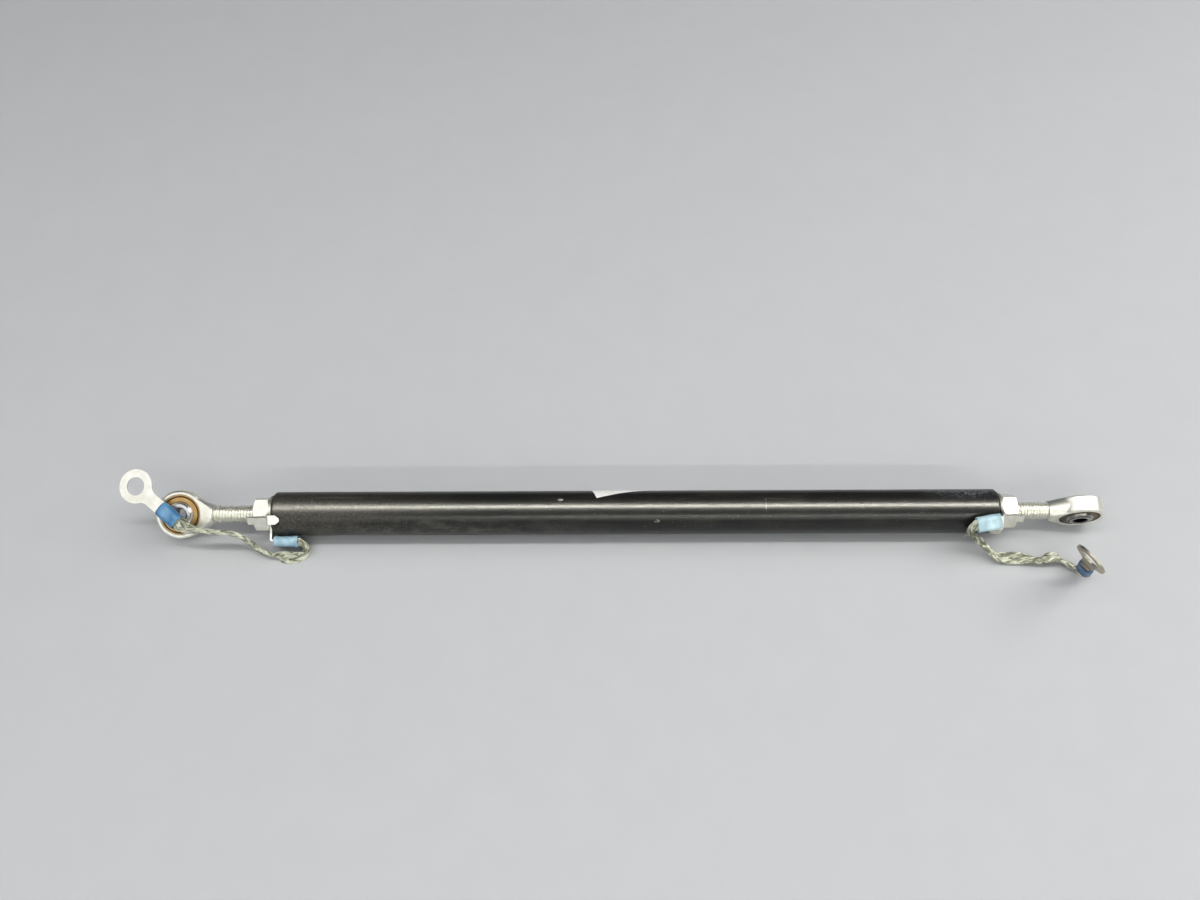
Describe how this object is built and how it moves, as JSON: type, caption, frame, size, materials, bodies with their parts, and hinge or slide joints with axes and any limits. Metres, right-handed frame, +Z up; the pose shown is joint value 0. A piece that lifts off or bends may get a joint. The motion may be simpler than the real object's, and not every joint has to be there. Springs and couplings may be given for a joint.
{
  "type": "aileron control rod",
  "caption": "Straight tubular push-pull rod with an adjustable swivelling rod end, lock nut and braided bonding jumper at each end.",
  "frame": {"origin": "centre of the left ball, where its bolt's axis crosses the rod's axis", "axes": "+X along the rod from the left eye to the right eye, +Z up from the surface the rod lies on, +Y away from the side that the picture is taken from"},
  "size_m": [0.3559, 0.0468, 0.0279],
  "materials": {
    "paint": "satin black paint over drawn aluminium tube, rubbed grey in places",
    "plug": "turned aluminium, painted black where it shows",
    "plated_steel": "bright plating with a faint yellow-green cast",
    "race": "dull machined brass, darker in the staking groove",
    "ball_steel": "ground and polished steel",
    "tinned": "bright tinned copper sheet",
    "braid": "flat braid of tinned copper wire",
    "blue_sleeve": "translucent blue crimped insulation",
    "dark_sleeve": "translucent dark blue crimped insulation",
    "pale_sleeve": "faded milky blue crimped insulation"
  },
  "bodies": {
    "rod_tube": {"tube": "paint", "left_end_plug": "plug", "right_end_plug": "plug"},
    "left_rod_end": {"left_rod_end_body": "plated_steel", "left_race": "race", "left_lock_washer": "plated_steel", "left_clamped_terminal": "tinned", "left_clamped_sleeve": "pale_sleeve", "left_braid": "braid", "left_free_terminal": "tinned", "left_free_sleeve": "blue_sleeve"},
    "left_nut": {"left_jam_nut": "plated_steel"},
    "left_swivel": {"left_ball": "ball_steel"},
    "right_rod_end": {"right_rod_end_body": "plated_steel", "right_race": "race", "right_lock_washer": "plated_steel", "right_clamped_terminal": "tinned", "right_clamped_sleeve": "pale_sleeve", "right_braid": "braid", "right_free_terminal": "tinned", "right_free_sleeve": "dark_sleeve"},
    "right_nut": {"right_jam_nut": "plated_steel"},
    "right_swivel": {"right_ball": "ball_steel"}
  },
  "joints": [
    {"name": "left_turn", "type": "hinge", "parent": "rod_tube", "child": "left_rod_end", "pos_m": [0, 0, 0], "axis": [1, 0, 0], "range_deg": [-180, 180]},
    {"name": "left_nut_travel", "type": "slide", "parent": "left_rod_end", "child": "left_nut", "axis": [-1, 0, 0], "range_m": [0, 0.013]},
    {"name": "left_ball_tilt", "type": "hinge", "parent": "left_rod_end", "child": "left_swivel", "pos_m": [0, 0, 0], "axis": [1, 0, 0], "range_deg": [-15, 15]},
    {"name": "right_turn", "type": "hinge", "parent": "rod_tube", "child": "right_rod_end", "pos_m": [0.32545, 0, 0], "axis": [1, 0, 0], "range_deg": [-180, 180]},
    {"name": "right_nut_travel", "type": "slide", "parent": "right_rod_end", "child": "right_nut", "axis": [1, 0, 0], "range_m": [0, 0.01]},
    {"name": "right_ball_tilt", "type": "hinge", "parent": "right_rod_end", "child": "right_swivel", "pos_m": [0.32545, 0, 0], "axis": [1, 0, 0], "range_deg": [-15, 15]}
  ]
}
